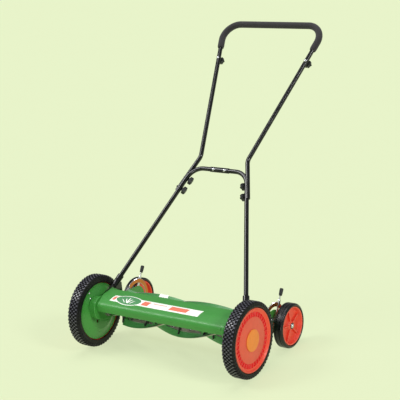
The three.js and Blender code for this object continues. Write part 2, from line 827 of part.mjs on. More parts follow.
for (const [side, sign] of [["left", 1], ["right", -1]]) {
  const half = new THREE.Group();
  half.scale.x = sign;
  mower.add(half);
  add(half, `side_plate_${side}`, sidePlate(), greenEnamel);
  add(half, `wheel_axle_${side}`, wheelAxle(), steel);
  add(half, `reel_bearing_${side}`, reelBearing(), bronze);
  add(half, `height_sector_${side}`, heightSector(), zinc);
  add(half, `lever_pivot_${side}`, leverPivot(), zinc);
  add(half, `wheel_rim_${side}`, wheelRim(), orangePlastic);
  add(half, `wheel_tyre_${side}`, wheelTyre(), tyreRubber);
  add(half, `wheel_hub_cap_${side}`, hubCap(), amberPlastic);
  add(half, `pinion_${side}`, pinion(), steel);
  add(half, `height_lever_${side}`, heightLever(), zinc);
  add(half, `lever_grip_${side}`, leverGrip(), blackPlastic);
  add(half, `tracking_rim_${side}`, trackRim(), orangePlastic);
  add(half, `tracking_tyre_${side}`, trackTyre(), tyreRubber);
  add(half, `tracking_cap_${side}`, trackCap(), zinc);
  add(half, `handle_arm_${side}`, handleArm(), blackEnamel);
  add(half, `lower_tube_${side}`, lowerTube(), blackEnamel);
  add(half, `middle_tube_${side}`, midTube(), blackEnamel);
  for (const [place, z] of Object.entries(LOWER_KNOB_Z)) {
    add(half, `joint_knob_${place}_${side}`, lowerKnob(z), blackPlastic);
  }
  add(half, `loop_knob_${side}`, loopKnob(), blackPlastic);
}

add(mower, "deck_shield", deckShield(), greenEnamel);
add(mower, "cutter_bar", cutterBar(), zinc);
add(mower, "bed_knife", bedKnife(), steel);
add(mower, "tie_rod", tieRod(), blackEnamel);
add(mower, "reel_shaft", reelShaft(), steel);
for (let i = 0; i < BLADES; i++) {
  add(mower, `reel_blade_${i + 1}`, blade(i), greenEnamel);
  const x = (CUT_WIDTH / 2 - 4) * (i / 2 - 1);
  add(mower, `reel_spider_${i + 1}`, spider(x), blackIron);
}
add(mower, "handle_splice", splice(), blackEnamel);
add(mower, "upper_loop", upperLoop(), blackEnamel);
add(mower, "foam_grip", foamGrip(), foam);

// ---------------------------------------------------------------- origin under the middle
mower.position.y = -(upperY(TOP_Z) + GRIP_R - WHEEL_R) / 2;

export default mower;
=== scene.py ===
import json
import math

import bmesh
import bpy
from mathutils import Matrix, Vector
from mathutils.geometry import tessellate_polygon

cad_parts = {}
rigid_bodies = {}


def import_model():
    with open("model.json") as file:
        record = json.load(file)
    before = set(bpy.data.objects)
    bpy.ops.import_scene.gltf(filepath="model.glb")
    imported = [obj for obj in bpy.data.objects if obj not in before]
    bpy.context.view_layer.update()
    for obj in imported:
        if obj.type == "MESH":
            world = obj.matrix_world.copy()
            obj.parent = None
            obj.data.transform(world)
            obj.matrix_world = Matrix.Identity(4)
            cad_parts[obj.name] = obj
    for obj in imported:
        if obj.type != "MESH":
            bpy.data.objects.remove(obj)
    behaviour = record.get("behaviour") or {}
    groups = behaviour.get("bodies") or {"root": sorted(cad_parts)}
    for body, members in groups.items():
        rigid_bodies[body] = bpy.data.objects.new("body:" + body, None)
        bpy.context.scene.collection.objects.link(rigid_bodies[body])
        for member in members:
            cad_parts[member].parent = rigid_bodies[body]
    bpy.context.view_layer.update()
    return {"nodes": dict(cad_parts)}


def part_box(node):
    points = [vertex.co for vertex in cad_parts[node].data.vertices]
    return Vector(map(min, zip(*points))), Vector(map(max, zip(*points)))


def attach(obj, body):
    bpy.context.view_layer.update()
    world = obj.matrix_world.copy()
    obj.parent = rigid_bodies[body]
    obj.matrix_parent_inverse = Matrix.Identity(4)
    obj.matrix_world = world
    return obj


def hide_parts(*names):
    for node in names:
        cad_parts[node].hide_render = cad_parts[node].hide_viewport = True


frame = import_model()

MM = 0.001
SIGN = {"left": 1, "right": -1}
OUTWARD = Vector((1, 0, 0))


# -------------------- places read from the frame
def middle(node):
    low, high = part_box(node)
    return (low + high) / 2 / MM


AXLE_ROW_Y = middle("wheel_tyre_left").y


def centre(node):
    """Where a CAD node's middle is, as (y, z) in this script's coordinates."""
    at = middle(node)
    return Vector((at.y - AXLE_ROW_Y, at.z))


AXLE = centre("wheel_tyre_left")
REEL = centre("reel_shaft")
PIVOT = centre("lever_pivot_left")
TRACK_AXLE = centre("tracking_tyre_left")
TIE_ROD = centre("tie_rod")
WHEEL_R = AXLE.y
TRACK_R = TRACK_AXLE.y
OUTER_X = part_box("wheel_tyre_left")[1].x / MM
TYRE_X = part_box("wheel_tyre_left")[0].x / MM
TRACK_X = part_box("tracking_tyre_left")[0].x / MM
PLATE_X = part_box("reel_bearing_left")[0].x / MM
SECTOR_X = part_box("height_sector_left")[0].x / MM
LEVER_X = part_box("height_lever_left")[0].x / MM
HALF_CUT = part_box("reel_blade_1")[1].x / MM
ARM_X = 268  # inner face of the handle arms
WEB_PLATE_X = 285
DISC_X = 297
SHEET = 3
GAP = 0.3

# The handle lies in two planes that both hold the X direction.
LOWER_SLOPE = 0.882
FOOT_Z = 210
FOOT_X = 269
LOWER_LEAN = 0.4540
MIDDLE_LEAN = 0.298
SPLICE_Z = 558
LOOP_X = 186  # middle tube at its upper joint
LOOP_Z = 887
TOP_Z = 992
MIDDLE_FOOT_Z = 487
MIDDLE_CORNER_Z = 591
MIDDLE_TOP_Z = 898
GRIP_Z = 917
LOOP_KNOB_Z = 884
LOWER_KNOB_Z = {"upper": 525, "lower": 496}
TUBE_R = 8
GRIP_R = 12.3
GRIP_STEPS = 130
LOOP_BEND_R = 60
AXLE_BORE_R = 8.6


def lower_point(z, outward=0.0):
    x = FOOT_X - LOWER_LEAN * (z - FOOT_Z) + outward
    return Vector((x, LOWER_SLOPE * (z - WHEEL_R), z))


def upper_point(z):
    return Vector((LOOP_X + MIDDLE_LEAN * (z - LOOP_Z), z - 180, z))


# -------------------- outlines
def polar(at, radius, turn):
    return (at[0] + radius * math.cos(turn), at[1] + radius * math.sin(turn))


def arc(at, radius, start, end, steps):
    return [polar(at, radius, start + (end - start) * i / steps) for i in range(steps + 1)]


def circle(at, radius, steps=64):
    return arc(at, radius, 0, 2 * math.pi, steps)[:-1]


def belt(a, radius_a, b, radius_b, steps=24):
    """The outline of a belt drawn tight round two circles."""
    along = math.atan2(b[1] - a[1], b[0] - a[0])
    spread = math.acos((radius_a - radius_b) / math.dist(a, b))
    far = arc(a, radius_a, along + spread, along + 2 * math.pi - spread, steps)
    return far + arc(b, radius_b, along - spread, along + spread, steps)


def eased(points, radius, steps=4, loop=False):
    """The same line with its corners rounded, as far as the neighbouring points allow."""
    result = []
    count = len(points)
    for i, corner in enumerate(points):
        if not loop and i in (0, count - 1):
            result.append(Vector(corner))
            continue
        here = Vector(corner)
        back = Vector(points[i - 1]) - here
        ahead = Vector(points[(i + 1) % count]) - here
        turn = back.angle(ahead)
        if turn > math.radians(177):
            result.append(here)
            continue
        reach = min(radius / math.tan(turn / 2), back.length * 0.45, ahead.length * 0.45)
        start = here + back.normalized() * reach
        end = here + ahead.normalized() * reach
        for step in range(steps + 1):
            t = step / steps
            result.append(start.lerp(here, t).lerp(here.lerp(end, t), t))
    return result


def bent(corners, radius, steps=14):
    """A tube's centre line: straight runs with a round bend at each inner corner."""
    path = [corners[0]]
    for before, corner, after in zip(corners, corners[1:], corners[2:]):
        back = (before - corner).normalized()
        ahead = (after - corner).normalized()
        half = back.angle(ahead) / 2
        hub = corner + (back + ahead).normalized() * (radius / math.sin(half))
        start = corner + back * (radius / math.tan(half))
        axis = ahead.cross(back).normalized()
        sweep = math.pi - 2 * half
        for step in range(steps + 1):
            turn = Matrix.Rotation(sweep * step / steps, 3, axis)
            path.append(hub + turn @ (start - hub))
    path.append(corners[-1])
    return path


def inset(outline, depth):
    """The outline moved inwards by depth, corner by corner."""
    area = sum(a[0] * b[1] - b[0] * a[1] for a, b in zip(outline, outline[1:] + outline[:1]))
    turn = 1 if area > 0 else -1
    moved = []
    for i, corner in enumerate(outline):
        here = Vector(corner)
        into = (here - Vector(outline[i - 1])).normalized()
        out = (Vector(outline[(i + 1) % len(outline)]) - here).normalized()
        normals = Vector((-into.y, into.x)) + Vector((-out.y, out.x))
        share = max(normals.length_squared / 2, 0.3)
        moved.append(tuple(here + normals * (turn * depth / share)))
    return moved


# -------------------- solids: (points, faces)
def together(*solids):
    points = []
    faces = []
    for more_points, more_faces in solids:
        start = len(points)
        points.extend(more_points)
        faces.extend([start + i for i in face] for face in more_faces)
    return points, faces


def loft(rings, loop=False):
    """A skin over rings of equal count, closed at its ends or joined round into a loop."""
    count = len(rings[0])
    points = [Vector(p) for ring in rings for p in ring]
    faces = []
    pairs = len(rings) if loop else len(rings) - 1
    for r in range(pairs):
        a = r * count
        b = ((r + 1) % len(rings)) * count
        for i in range(count):
            j = (i + 1) % count
            faces.append([a + i, a + j, b + j, b + i])
    if not loop:
        faces.append(list(range(count))[::-1])
        faces.append([len(points) - count + i for i in range(count)])
    return points, faces


def round_x(x, radius, at, steps):
    return [(x, y, z) for y, z in circle(at, radius, steps)]


def turned(profile, at, steps=64):
    """A solid of revolution about X, from a list of (x, radius) that never touches the axis."""
    return loft([round_x(x, r, at, steps) for x, r in profile])


def turned_ring(profile, at, turns):
    """A ring about X. profile(turn) gives the (x, radius) loop at that turn."""
    rings = []
    for turn in turns:
        rings.append([(x, *polar(at, r, turn)) for x, r in profile(turn)])
    return loft(rings, loop=True)


def even_turns(steps, shares=(0,)):
    """Angles all the way round, at the given shares of each step."""
    return [2 * math.pi * (i + share) / steps for i in range(steps) for share in shares]


def plate(outline, low, high, holes=(), chamfer=0.4):
    """A plate with an outline in (Y, Z) that fills x from low to high, its edges chamfered."""
    levels = [(low, chamfer), (low + chamfer, 0), (high - chamfer, 0), (high, chamfer)]
    loops = [[tuple(p) for p in outline], *[[tuple(p) for p in hole] for hole in holes]]
    points = []
    faces = []
    starts = []
    for n, loop in enumerate(loops):
        starts.append(len(points))
        count = len(loop)
        for x, depth in levels:
            moved = inset(loop, depth if n == 0 else -depth) if depth else loop
            points.extend(Vector((x, y, z)) for y, z in moved)
        for level in range(len(levels) - 1):
            a = starts[n] + level * count
            for i in range(count):
                j = (i + 1) % count
                faces.append([a + i, a + j, a + count + j, a + count + i])
    ends = []
    for level in (0, len(levels) - 1):
        order = []
        flat = []
        for start, loop in zip(starts, loops):
            base = start + level * len(loop)
            order.extend(range(base, base + len(loop)))
            flat.append([Vector((points[base + i].y, points[base + i].z, 0)) for i in range(len(loop))])
        ends.extend([order[i] for i in face] for face in tessellate_polygon(flat))
    return points, faces + ends


def sweep(path, radius, sides=24):
    """A round bar along a path. radius(t) or a number, with t going from 0 to 1."""
    normal = None
    rings = []
    for i, here in enumerate(path):
        before = path[max(i - 1, 0)]
        after = path[min(i + 1, len(path) - 1)]
        along = (after - before).normalized()
        if normal is None:
            normal = along.orthogonal().normalized()
        normal = (normal - along * normal.dot(along)).normalized()
        side = along.cross(normal)
        r = radius(i / (len(path) - 1)) if callable(radius) else radius
        ring = []
        for k in range(sides):
            turn = 2 * math.pi * k / sides
            ring.append(here + (normal * math.cos(turn) + side * math.sin(turn)) * r)
        rings.append(ring)
    return loft(rings)


def stacked(base, direction, sections):
    """Rings of (height, outline) along a direction from a base point."""
    along = direction.normalized()
    side = along.orthogonal().normalized()
    up = along.cross(side)
    rings = []
    for height, outline in sections:
        rings.append([base + along * height + side * a + up * b for a, b in outline])
    return loft(rings)


def upright(base, direction, radii, steps):
    """A turned solid that stands on base, from a list of (height, radius)."""
    return stacked(base, direction, [(height, circle((0, 0), r, steps)) for height, r in radii])


def bolt(base, direction, size):
    """A hexagon head on a washer, standing on base."""
    low = size * 0.22
    washer = upright(base, direction, [(0, size * 1.2), (low, size * 1.2)], 24)
    head = [(low, size), (size * 0.75, size), (size * 0.9, size * 0.86)]
    return together(washer, upright(base, direction, head, 6))


def dome(base, direction, radius, height):
    """A low round rivet head."""
    shares = (0.0, 0.45, 0.75, 0.93, 1.0)
    radii = [(height * share, radius * math.sqrt(max(1 - share**2, 0.02))) for share in shares]
    return upright(base, direction, radii, 20)


# -------------------- Blender objects
def mesh_of(name, points, faces):
    """A mesh whose faces all look outwards."""
    mesh = bpy.data.meshes.new(name)
    mesh.from_pydata([tuple(p) for p in points], [], faces)
    edit = bmesh.new()
    edit.from_mesh(mesh)
    bmesh.ops.recalc_face_normals(edit, faces=edit.faces)
    edit.to_mesh(mesh)
    edit.free()
    return mesh


def make(name, solid, materials, body, side=None, replaces=(), pick=None, sharp=32, slot=None):
    """One closed mesh that rides on a body. Where a side is given, the solid is drawn for the left
    and mirrored for the right, and the side ends its name and the names of the nodes it replaces.
    pick(middle of a face) gives the index of the face's material. The slot falls back to the first
    material's name where none is given, but nothing keeps it."""
    points, faces = solid
    sign = SIGN.get(side, 1)
    ending = f"_{side}" if side else ""
    placed = [((sign * x) * MM, (y + AXLE_ROW_Y) * MM, z * MM) for x, y, z in points]
    mesh = mesh_of(name + ending, placed, faces)
    for material in materials:
        mesh.materials.append(material)
    if pick:
        for face in mesh.polygons:
            at = face.center / MM
            face.material_index = pick(sign * at.x, at.y - AXLE_ROW_Y, at.z)
    mesh.shade_smooth()
    mesh.set_sharp_from_angle(angle=math.radians(sharp))
    obj = bpy.data.objects.new(name + ending, mesh)
    bpy.context.scene.collection.objects.link(obj)
    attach(obj, body)
    # Blender numbers a new material where the frame already has one of that name.
    slot = slot or materials[0].name.partition(".")[0]
    replaces = [node + ending for node in replaces]
    if replaces:
        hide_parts(*replaces)
    return obj


def combined(base, tools, operation):
    """The solid that is left after a boolean with each tool in turn."""
    scene = bpy.context.scene.collection.objects
    obj = bpy.data.objects.new("base", mesh_of("base", *base))
    scene.link(obj)
    made = [obj]
    for tool in tools:
        other = bpy.data.objects.new("tool", mesh_of("tool", *tool))
        scene.link(other)
        made.append(other)
        step = obj.modifiers.new("combine", "BOOLEAN")
        step.operation = operation
        step.solver = "MANIFOLD"
        step.object = other
    bpy.context.view_layer.update()
    graph = bpy.context.evaluated_depsgraph_get()
    mesh = bpy.data.meshes.new_from_object(obj.evaluated_get(graph))
    points = [v.co.copy() for v in mesh.vertices]
    faces = [list(face.vertices) for face in mesh.polygons]
    for item in made:
        old = item.data
        bpy.data.objects.remove(item)
        bpy.data.meshes.remove(old)
    bpy.data.meshes.remove(mesh)
    return points, faces


# -------------------- shader helpers
class Shader:
    """A material and short ways to add nodes to it."""

    def __init__(self, name, **constants):
        self.material = bpy.data.materials.new(name)
        self.material.use_nodes = True
        self.tree = self.material.node_tree
        self.surface = self.tree.nodes["Principled BSDF"]
        for key, value in constants.items():
            self.surface.inputs[key.replace("_", " ").title().replace("Ior", "IOR")].default_value = value

    def add(self, kind, values=(), **settings):
        node = self.tree.nodes.new(kind)
        for key, value in settings.items():
            setattr(node, key, value)
        for key, value in dict(values).items():
            self.put(node.inputs[key], value)
        return node

    def put(self, socket, value):
        if isinstance(value, bpy.types.NodeSocket):
            self.tree.links.new(value, socket)
        else:
            socket.default_value = value

    def where(self, stretch=(1, 1, 1)):
        place = self.add("ShaderNodeTexCoord").outputs["Object"]
        return self.add("ShaderNodeMapping", {"Vector": place, "Scale": stretch}).outputs[0]

    def noise(self, scale, detail=3, stretch=(1, 1, 1), rough=0.55):
        inputs = {"Vector": self.where(stretch), "Scale": scale, "Detail": detail, "Roughness": rough}
        return self.add("ShaderNodeTexNoise", inputs).outputs["Fac"]

    def cells(self, scale):
        inputs = {"Vector": self.where(), "Scale": scale}
        return self.add("ShaderNodeTexVoronoi", inputs).outputs["Distance"]

    def scaled(self, value, low, high, to_low, to_high):
        inputs = {"Value": value, "From Min": low, "From Max": high, "To Min": to_low, "To Max": to_high}
        return self.add("ShaderNodeMapRange", inputs).outputs["Result"]

    def math(self, operation, a, b=0.0, clamp=False):
        return self.add("ShaderNodeMath", {0: a, 1: b}, operation=operation, use_clamp=clamp).outputs[0]

    def blend(self, share, a, b):
        node = self.add("ShaderNodeMix", data_type="RGBA")
        self.put(node.inputs["Factor"], share)
        self.put(node.inputs[6], a)
        self.put(node.inputs[7], b)
        return node.outputs[2]

    def bump(self, height, strength, distance_mm):
        inputs = {"Height": height, "Strength": strength, "Distance": distance_mm * MM}
        self.put(self.surface.inputs["Normal"], self.add("ShaderNodeBump", inputs).outputs[0])

    def colour(self, value):
        self.put(self.surface.inputs["Base Color"], value)

    def rough(self, noise, low, high):
        self.put(self.surface.inputs["Roughness"], self.scaled(noise, 0.3, 0.7, low, high))

    def clouded(self, noise, colour, low, high):
        """The colour, dimmed or brightened from low to high as the noise rises."""
        return self.blend(noise, dimmed(colour, low), dimmed(colour, high))


def rgb(orange_dish_shade, green, blue):
    """A screen colour, 0 to 255, as the linear colour that a shader takes."""
    parts = [v / 255 for v in (orange_dish_shade, green, blue)]
    return (*[p / 12.92 if p < 0.04045 else ((p + 0.055) / 1.055) ** 2.4 for p in parts], 1)


def dimmed(colour, share):
    return (colour[0] * share, colour[1] * share, colour[2] * share, 1)


# -------------------- materials
def enamel(name, colour, rough=0.3, coat=0.2):
    """Gloss paint: faint orange peel, a cloudy tone, and patches where the gloss has dulled."""
    shader = Shader(name, specular_ior_level=0.4, coat_weight=coat, coat_roughness=0.12)
    shader.colour(shader.clouded(shader.noise(14, 4), colour, 0.86, 1.08))
    shader.rough(shader.noise(60, 4), rough - 0.07, rough + 0.1)
    shader.bump(shader.noise(330, 2), 0.12, 0.3)
    return shader


GREEN = rgb(60, 139, 56)
DECAL_WHITE = rgb(246, 246, 238)
DECAL_ORANGE = rgb(222, 108, 78)
DECAL_SHARPNESS = 4.0  # of the print's edges, per millimetre


def slab(shader, u, v, left, right, low, high, slant=0.0):
    """1 inside a parallelogram of the decal, in millimetres, and 0 outside."""
    across = shader.math("SUBTRACT", u, shader.math("MULTIPLY", shader.math("SUBTRACT", v, low), slant))
    inside = 1.0
    for more, less in ((across, left), (right, across), (v, low), (high, v)):
        gate = shader.math("MULTIPLY", shader.math("SUBTRACT", more, less), DECAL_SHARPNESS, True)
        inside = shader.math("MULTIPLY", inside, gate)
    return inside


def oval(shader, u, v, at_u, at_v, half_u, half_v, slant=0.0):
    """1 inside a leaning oval of the decal, in millimetres, and 0 outside."""
    down = shader.math("SUBTRACT", v, at_v)
    across = shader.math("SUBTRACT", shader.math("SUBTRACT", u, at_u), shader.math("MULTIPLY", down, slant))
    parts = [shader.math("DIVIDE", across, half_u), shader.math("DIVIDE", down, half_v)]
    squares = [shader.math("POWER", shader.math("ABSOLUTE", p), 2.0) for p in parts]
    edge = shader.math("SUBTRACT", 1.0, shader.math("ADD", *squares))
    return shader.math("MULTIPLY", edge, half_v * 1.5, True)


def deck_enamel():
    """The deck's paint with its printed stripe and badge. The map holds X and the way round the
    bent sheet, both in metres."""
    shader = enamel("deck_enamel", GREEN, 0.42, 0.06)
    paint = shader.surface.inputs["Base Color"].links[0].from_socket
    placed = shader.add("ShaderNodeUVMap", uv_map="decal").outputs[0]
    split = shader.add("ShaderNodeSeparateXYZ", {0: placed})
    u = shader.math("MULTIPLY", split.outputs[0], 1000.0)
    v = shader.math("MULTIPLY", split.outputs[1], 1000.0)
    print_worn = shader.scaled(shader.noise(500, 2), 0.3, 0.8, 1.0, 0.9)
    layers = [
        (slab, (-221, 144, 50.5, 82, 0.25), DECAL_WHITE),
        (slab, (-215, -203, 57, 76, 0.3), DECAL_ORANGE),
        (slab, (-92, -64, 55, 76, 0.4), DECAL_ORANGE),
        (slab, (-46, 10, 69.5, 72.5, 0.4), DECAL_ORANGE),
        (slab, (-52, 2, 64, 66, 0.4), rgb(206, 208, 214)),
        (slab, (22, 94, 57, 76, 0.4), DECAL_ORANGE),
        (oval, (-147.5, 67.6, 54, 24.6), DECAL_WHITE),
        (oval, (-147.5, 67.6, 51, 21.8), rgb(58, 134, 74)),
        (oval, (-147.5, 67, 2.6, 14), DECAL_WHITE),
        (oval, (-155, 64, 2.4, 11, -0.55), DECAL_WHITE),
        (oval, (-140, 64, 2.4, 11, 0.55), DECAL_WHITE),
        (oval, (-166, 61, 2.2, 8, -1.1), DECAL_WHITE),
        (oval, (-129, 61, 2.2, 8, 1.1), DECAL_WHITE),
    ]
    for shape, sizes, colour in layers:
        mask = shader.math("MULTIPLY", shape(shader, u, v, *sizes), print_worn)
        paint = shader.blend(mask, paint, colour)
    shader.colour(paint)
    return shader.material


def plastic(name, colour, rough=0.38, grain=0.25):
    """Moulded plastic: spark-eroded grain, faint flow marks, slightly uneven gloss."""
    shader = Shader(name, specular_ior_level=0.45)
    flow = shader.noise(22, 3, (1, 2.5, 2.5))
    shader.colour(shader.clouded(flow, colour, 0.9, 1.08))
    shader.rough(shader.noise(120, 3), rough - 0.06, rough + 0.1)
    shader.bump(shader.noise(1400, 2), grain, 0.08)
    return shader.material


def rubber(name, colour, rough, dusty, gloss=0.5):
    """Moulded rubber: dull skin, grey bloom and dust that gathers in patches."""
    shader = Shader(name, specular_ior_level=gloss)
    bloom = shader.scaled(shader.noise(35, 5), 0.45, 0.75, 0, dusty)
    tone = shader.clouded(shader.noise(260, 3), colour, 0.75, 1.25)
    shader.colour(shader.blend(bloom, tone, rgb(96, 94, 98)))
    shader.rough(shader.noise(180, 3), rough - 0.08, rough + 0.12)
    shader.bump(shader.noise(1100, 3), 0.35, 0.12)
    return shader.material


def foam_skin():
    """Closed-cell foam: fine pits over a soft, uneven skin."""
    colour = rgb(36, 33, 37)
    shader = Shader("foam", roughness=0.95, sheen_weight=0.14, sheen_roughness=0.6)
    pits = shader.scaled(shader.cells(700), 0.0, 0.5, 0, 1)
    tone = shader.clouded(shader.noise(40, 4), colour, 0.8, 1.2)
    # The pits are painted darker than the skin: painted shade in the cells.
    shader.colour(shader.blend(pits, dimmed(colour, 0.55), tone))
    shader.bump(pits, 0.4, 0.25)
    return shader.material


def bright_metal(name, colour, rough, stretch=(1, 1, 1), streak=0.08):
    """Plated or ground metal: directional scratches, cloudy plating, small dull spots."""
    shader = Shader(name, metallic=1.0)
    cloud = shader.noise(45, 4)
    shader.colour(shader.blend(cloud, dimmed(colour, 0.78), colour))
    lines = shader.noise(900, 2, stretch)
    shader.rough(lines, rough - streak, rough + streak * 1.5)
    shader.bump(lines, 0.12, 0.05)
    return shader.material


def cast_iron(name, colour):
    shader = Shader(name, specular_ior_level=0.4)
    shader.colour(shader.clouded(shader.noise(60, 4), colour, 0.7, 1.3))
    shader.rough(shader.noise(200, 3), 0.45, 0.65)
    shader.bump(shader.noise(420, 3), 0.4, 0.25)
    return shader.material


def floor_paper():
    """Pale paper, lit from behind as well, so that shadows on it stay faint."""
    colour = rgb(232, 243, 201)
    shader = Shader("backdrop_paper", roughness=0.9, specular_ior_level=0.0, emission_strength=0.72)
    shader.surface.inputs["Emission Color"].default_value = colour
    shader.colour(shader.clouded(shader.noise(3, 2), colour, 0.222, 0.228))
    return shader.material


green = enamel("green_enamel", GREEN).material
deck_paint = deck_enamel()
blade_paint = enamel("blade_enamel", rgb(80, 150, 84), 0.34, 0.1).material
black = enamel("black_enamel", rgb(10, 10, 11), 0.17).material
iron = cast_iron("black_iron", rgb(38, 40, 39))
orange = plastic("orange_plastic", rgb(234, 74, 48), 0.33)
# A darker red for the notched band on the driving wheels: painted shade in its recesses.
notch_shade_orange = plastic("orange_painted_notch_shade", rgb(226, 38, 38), 0.4)
# A darker red for the tracking wheels' recessed dish and rib sides: painted shade.
orange_dish_shade = plastic("orange_painted_dish_shade", rgb(228, 66, 46), 0.34)
# A paler orange for lips, rib tops and the driving wheels' flat outer face: painted highlight.
orange_highlight = plastic("orange_painted_highlight", rgb(224, 88, 66), 0.45)
# A paler yellow-orange for the flat hub caps: painted highlight.
cap_orange_highlight = plastic("amber_plastic", rgb(236, 134, 50), 0.45)
tyre = rubber("tyre_rubber", rgb(16, 15, 18), 0.4, 0.05, gloss=0.22)
# Lighter rubber for the block tops: painted highlight on the lugs, with a little more dust than the
# sidewalls.
tread_dust_and_highlight = rubber("tread_rubber_dust_and_highlight", rgb(78, 77, 86), 0.24, 0.2)
tyre_smooth = rubber("smooth_rubber", rgb(16, 16, 18), 0.28, 0.04, gloss=0.4)
foam = foam_skin()
black_plastic = plastic("black_plastic", rgb(34, 36, 36), 0.5, 0.4)
passivated = bright_metal("yellow_zinc", rgb(206, 128, 70), 0.34, (1, 1, 0.3))
# White for the tab behind the deck's rear edge: a painted highlight.
glint_white = plastic("glint_white", rgb(246, 246, 240), 0.5, 0.1)
zinc = bright_metal("zinc", rgb(214, 216, 220), 0.24, (1, 1, 0.2))
steel = bright_metal("steel", rgb(176, 174, 170), 0.32, (0.1, 1, 1))
# Near white rather than grey: painted light on the cutter bar, which sits in shade under the deck.
bar_painted_light = plastic("grey_paint_painted_light", rgb(248, 236, 220), 0.5)
ground = bright_metal("ground_edge", rgb(196, 192, 184), 0.3, (0.05, 1, 1))
bronze = bright_metal("bronze", rgb(190, 150, 92), 0.4)


# -------------------- driving wheels
LUGS = 60
TREAD_DEPTH = 3.4
BLOCK_SHARE = 0.42  # of the pitch
BLOCK_ENDS = (0.0, 0.08, 0.42, 0.5, 0.58, 0.92)
RIM_R = 106
WEB_X = OUTER_X - 12
BARREL_R = 101


def in_block(turn, row):
    phase = (turn * LUGS / (2 * math.pi)) % 1
    low = 0.04 if row % 2 == 0 else 0.54
    return low < phase < low + BLOCK_SHARE


def tyre_profile(turn):
    """The tyre's section at a turn. Rows of blocks stand on it, each half a block out of step."""
    bead = [
        (TYRE_X + 3.6, RIM_R + 0.4, None),
        (TYRE_X + 3.6, BARREL_R + 1.0, None),
        (TYRE_X + 1.0, BARREL_R + 1.2, None),
        (TYRE_X, RIM_R + 1.0, None),
    ]
    crown = [(0, -13.5, None), (0.1, -12.5, 0), (0.8, -5.0, 0), (3.4, -1.0, 0), (6.0, -0.2, 0)]
    crown += [(10.4, 0, 0), (11.2, 0, 1), (18.2, 0, 1), (19.0, 0, 2)]
    half = [(TYRE_X + x, WHEEL_R + r, row) for x, r, row in crown]
    far = [(OUTER_X + TYRE_X - x, r, None if row is None else 4 - row) for x, r, row in reversed(half)]
    lip = [
        (OUTER_X, RIM_R + 6.0, None),
        (OUTER_X - 0.6, RIM_R + 2.5, None),
        (OUTER_X - 4, RIM_R + 0.6, None),
    ]
    loop = []
    for x, r, row in bead + half + far + lip:
        sunk = row is not None and not in_block(turn, row)
        inward = 1.6 if x < (TYRE_X + OUTER_X) / 2 else -1.6
        if sunk and r < WHEEL_R - 2:
            loop.append((x + inward, r))
        else:
            loop.append((x, r - TREAD_DEPTH if sunk else r))
    return loop


NOTCHES = 36
NOTCH_ENDS = (0.0, 0.08, 0.3, 0.5, 0.62, 0.7)


def rim_profile(turn):
    """The rim's section at a turn: barrel, lip, a ring of notches and a flat face."""
    phase = (turn * NOTCHES / (2 * math.pi)) % 1
    floor = WEB_X + 2.2 if 0.04 < phase < 0.66 else WEB_X + 5.2
    return [
        (TYRE_X + 4, BARREL_R + 1),
        (TYRE_X + 4, RIM_R - 0.6),
        (TYRE_X + 4.4, RIM_R),
        (OUTER_X - 2, RIM_R),
        (OUTER_X - 0.9, RIM_R - 0.8),
        (OUTER_X - 0.7, RIM_R - 2.2),
        (OUTER_X - 1.6, RIM_R - 3.6),
        (WEB_X + 6.2, RIM_R - 7.0),
        (WEB_X + 5.4, RIM_R - 8.5),
        (WEB_X + 5.2, RIM_R - 13.0),
        (floor, RIM_R - 14.0),
        (floor, RIM_R - 28.0),
        (WEB_X + 5.2, RIM_R - 29.4),
        (WEB_X + 6.0, RIM_R - 31.0),
        (WEB_X + 6.0, 9),
        (DISC_X + 5, 9),
        (DISC_X + 5, 20),
        (WEB_X, 21),
        (WEB_X, BARREL_R - 2),
        (WEB_X - 2, BARREL_R),
    ]


def driving_wheel(side):
    body = f"wheel_{side}"

    # Faces on the block tops take the lighter tread rubber, a painted highlight; the rest stays black.
    def tread_kind(x, y, z):
        return 1 if math.dist((y, z), AXLE) > WHEEL_R - 1.4 else 0

    solid = turned_ring(tyre_profile, AXLE, even_turns(LUGS, BLOCK_ENDS))
    make("tyre", solid, [tyre, tread_dust_and_highlight], body, side, ["wheel_tyre"], tread_kind, sharp=28)

    def face_kind(x, y, z):
        r = math.dist((y, z), AXLE)
        # Index 1, the outer lip and the flat outer face, is a paler orange: painted highlight.
        if x > OUTER_X - 2.5 and r > RIM_R - 4 or x > WEB_X + 4 and r < RIM_R - 30:
            return 1
        # Index 2, the notched band, is a darker red: painted shade for its recesses.
        return 2 if x > WEB_X + 1 and RIM_R - 29 < r < RIM_R - 13.5 else 0

    solid = turned_ring(rim_profile, AXLE, even_turns(NOTCHES, NOTCH_ENDS))
    make("rim", solid, [orange, orange_highlight, notch_shade_orange], body, side, ["wheel_rim"], face_kind)
    make("ring_gear", ring_gear(), [orange], body, side)
    # The hub cap's paler yellow-orange is a painted highlight on its flat face.
    low = WEB_X + 6 + GAP
    cap = [(low, 36), (low + 1.6, 37), (low + 2.8, 36.6), (low + 3.6, 35), (low + 4.2, 26), (low + 4.6, 2)]
    make("hub_cap", turned(cap, AXLE, 96), [cap_orange_highlight], body, side, ["wheel_hub_cap"])


RING_TEETH = 60
RING_ROOT_R = 93.6
RING_TIP_R = 87.6


def ring_gear():
    """The internal gear that drives the pinion, behind the rim's face."""
    tilt = math.atan2(REEL.y - AXLE.y, REEL.x - AXLE.x)
    tooth = ((RING_ROOT_R, -4.6), (RING_TIP_R, -2.4), (RING_TIP_R, 2.4), (RING_ROOT_R, 4.6))
    inner = []
    for number in range(RING_TEETH):
        for r, width in tooth:
            turn = tilt + 2 * math.pi * number / RING_TEETH + width / 2 / r
            inner.append(polar(AXLE, r, turn))
    return plate(circle(AXLE, BARREL_R + 0.5, 120), WEB_X - 17, WEB_X + 0.5, [inner], 0.3)


